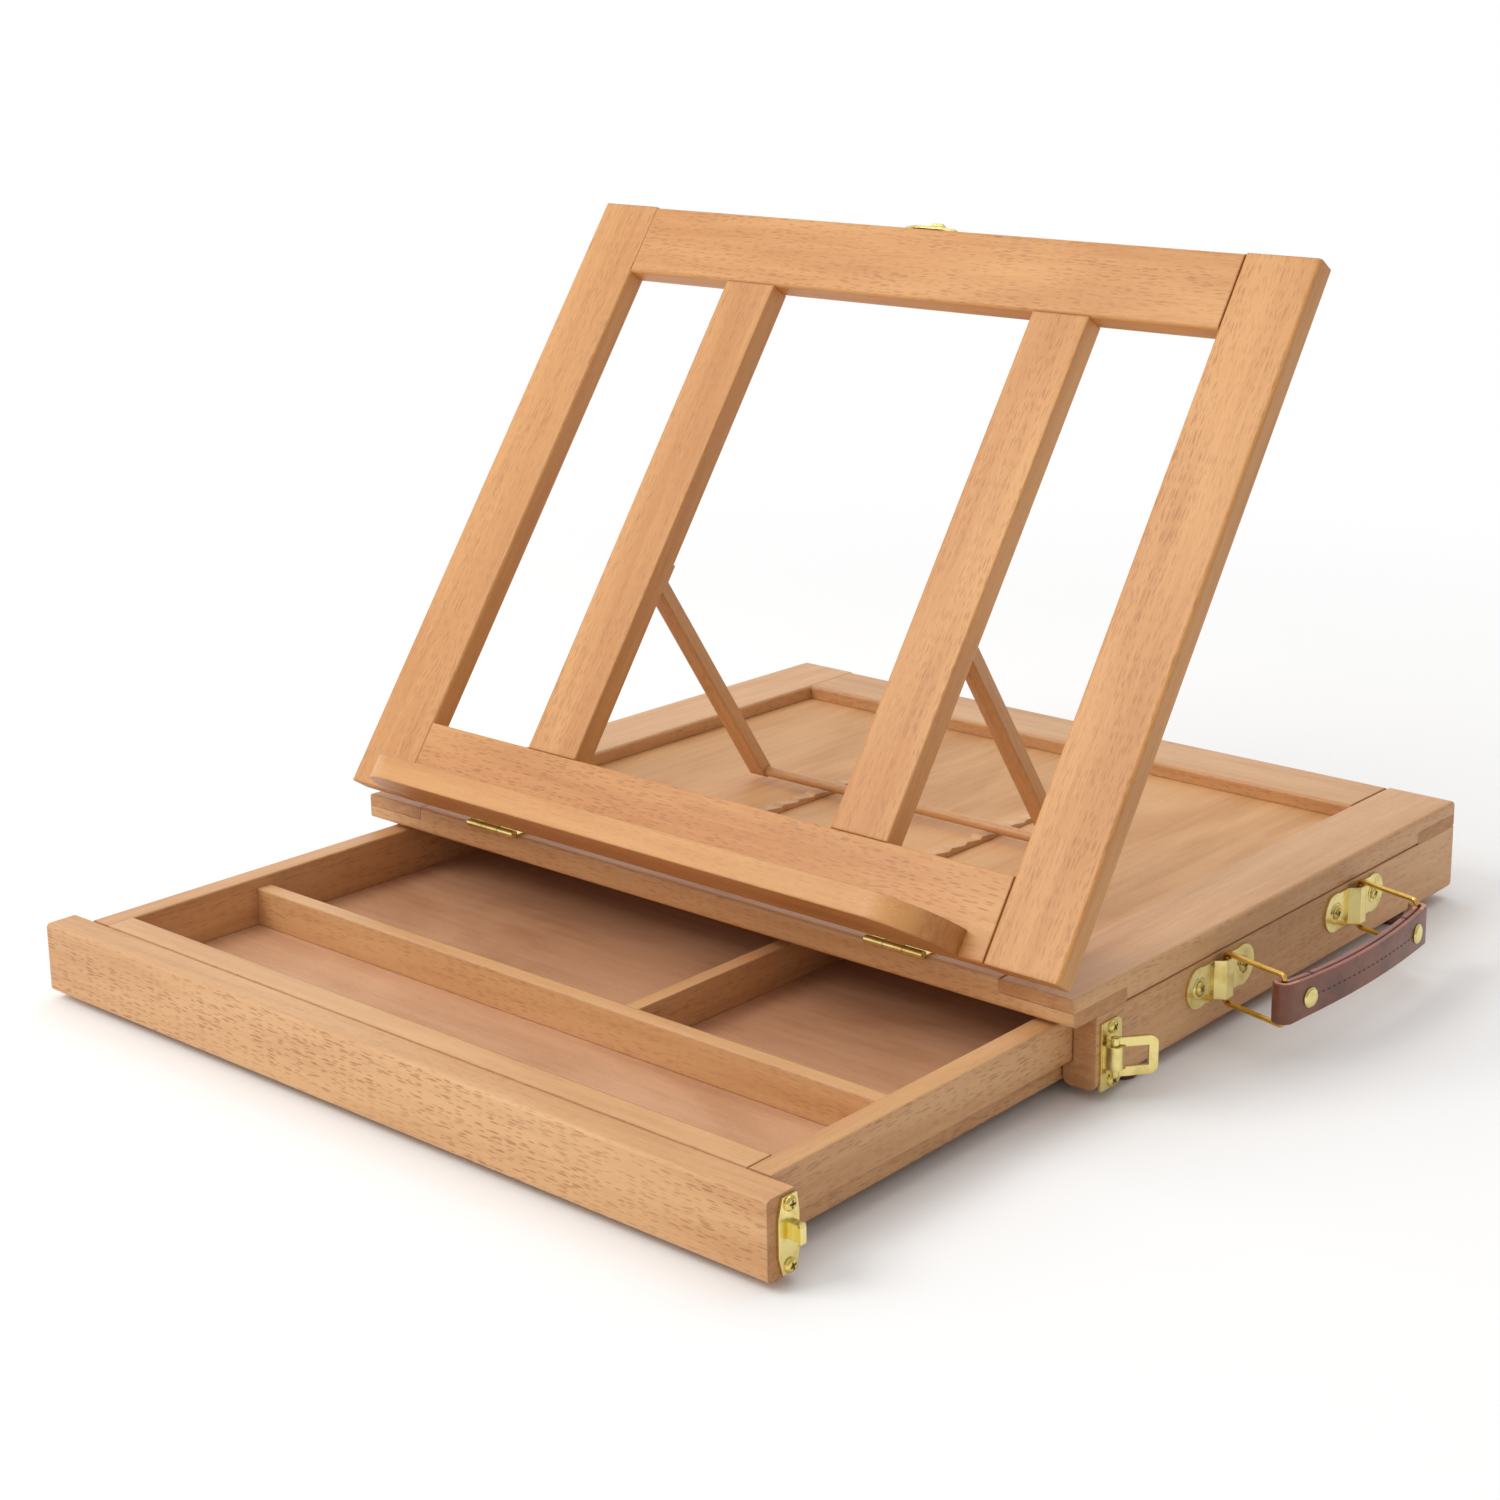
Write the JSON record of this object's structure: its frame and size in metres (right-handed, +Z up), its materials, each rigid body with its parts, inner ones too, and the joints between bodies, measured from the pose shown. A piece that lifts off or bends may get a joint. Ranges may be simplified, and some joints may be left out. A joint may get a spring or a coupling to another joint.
{
  "type": "wooden artist easel",
  "caption": "Tabletop box easel: tilting slatted panel with ledge on a low box, pull-out drawer with compartments, folding prop, swing latches and a leather carrying handle.",
  "frame": {"origin": "middle of the underside of the whole open easel, at table level", "axes": "+Y from the drawer towards the back, +X to the side with the handle, +Z up"},
  "size_m": [0.3897, 0.411, 0.2638],
  "materials": {
    "beech": "satin oiled",
    "pale_beech": "satin oiled",
    "plywood": "satin",
    "brass": "polished",
    "leather": "satin",
    "dark_feet": "matte"
  },
  "bodies": {
    "box": {"side_left": "beech", "side_right": "beech", "back_board": "beech", "top_front_rail": "pale_beech", "top_back_rail": "pale_beech", "top_stile_left": "pale_beech", "top_stile_right": "pale_beech", "top_sheet": "plywood", "rack_left": "beech", "rack_right": "beech", "feet": "dark_feet", "hinge_leaf_box_left": "brass", "hinge_leaf_box_right": "brass", "hinge_pins": "brass", "hinge_screws_box": "brass", "handle_bracket_front": "brass", "handle_bracket_back": "brass", "handle_screws": "brass", "latch_plate_right": "brass", "latch_plate_left": "brass", "latch_plate_back": "brass", "latch_screws": "brass"},
    "drawer": {"drawer_front": "beech", "drawer_inner_front": "beech", "drawer_side_left": "beech", "drawer_side_right": "beech", "drawer_back": "beech", "drawer_bottom": "plywood", "divider_long": "pale_beech", "divider_cross": "pale_beech", "drawer_catch_right": "brass", "drawer_catch_left": "brass", "drawer_catch_screws": "brass"},
    "panel": {"panel_stile_left": "beech", "panel_stile_right": "beech", "panel_top_rail": "beech", "panel_bottom_rail": "beech", "panel_slat_left": "beech", "panel_slat_right": "beech", "ledge": "pale_beech", "ledge_screws": "brass", "hinge_leaf_panel_left": "brass", "hinge_leaf_panel_right": "brass", "hinge_screws_panel": "brass", "panel_catch": "brass", "panel_catch_screws": "brass", "prop_brackets": "beech", "prop_pins": "brass"},
    "prop": {"prop_leg_left": "beech", "prop_leg_right": "beech", "prop_foot_bar": "beech"},
    "loop_right": {"latch_loop_right": "brass"},
    "loop_left": {"latch_loop_left": "brass"},
    "loop_back": {"latch_loop_back": "brass"},
    "link_front": {"handle_link_front": "brass"},
    "link_back": {"handle_link_back": "brass"},
    "strap": {"handle_strap": "leather", "handle_rivets": "brass"}
  },
  "joints": [
    {"name": "drawer_slide", "type": "slide", "parent": "box", "child": "drawer", "axis": [0, 1, 0], "range_m": [-0.055, 0.14475]},
    {"name": "panel_tilt", "type": "hinge", "parent": "box", "child": "panel", "pos_m": [-0.01167, -0.06225, 0.041], "axis": [1, 0, 0], "range_deg": [-55.7, 14.3]},
    {"name": "prop_swing", "type": "hinge", "parent": "panel", "child": "prop", "pos_m": [-0.01167, 0.0018, 0.13135], "axis": [1, 0, 0], "range_deg": [-29.6, 112.4]},
    {"name": "loop_right_swing", "type": "hinge", "parent": "box", "child": "loop_right", "pos_m": [0.16184, -0.04225, 0.0155], "axis": [0, 0, 1], "range_deg": [-141, 36]},
    {"name": "loop_left_swing", "type": "hinge", "parent": "box", "child": "loop_left", "pos_m": [-0.18516, -0.04225, 0.0155], "axis": [0, 0, 1], "range_deg": [-36, 141]},
    {"name": "loop_back_swing", "type": "hinge", "parent": "box", "child": "loop_back", "pos_m": [-0.01167, 0.20275, 0.0358], "axis": [1, 0, 0], "range_deg": [-8, 180]},
    {"name": "handle_front_swing", "type": "hinge", "parent": "box", "child": "link_front", "pos_m": [0.16084, 0.02595, 0.02125], "axis": [0, 0, 1], "range_deg": [-62.5, 87.5]},
    {"name": "handle_back_swing", "type": "hinge", "parent": "box", "child": "link_back", "pos_m": [0.16084, 0.11895, 0.02125], "axis": [0, 0, 1], "range_deg": [-63.5, 88.5]},
    {"name": "handle_strap_swing", "type": "hinge", "parent": "link_front", "child": "strap", "pos_m": [0.18739, 0.02006, 0.02125], "axis": [0, 0, 1], "range_deg": [-88.5, 63.5]}
  ],
  "couplings": [
    {"joint": "prop_swing", "follows": "panel_tilt", "ratio": -2},
    {"joint": "handle_back_swing", "follows": "handle_front_swing", "ratio": 1},
    {"joint": "handle_strap_swing", "follows": "handle_front_swing", "ratio": -1}
  ]
}
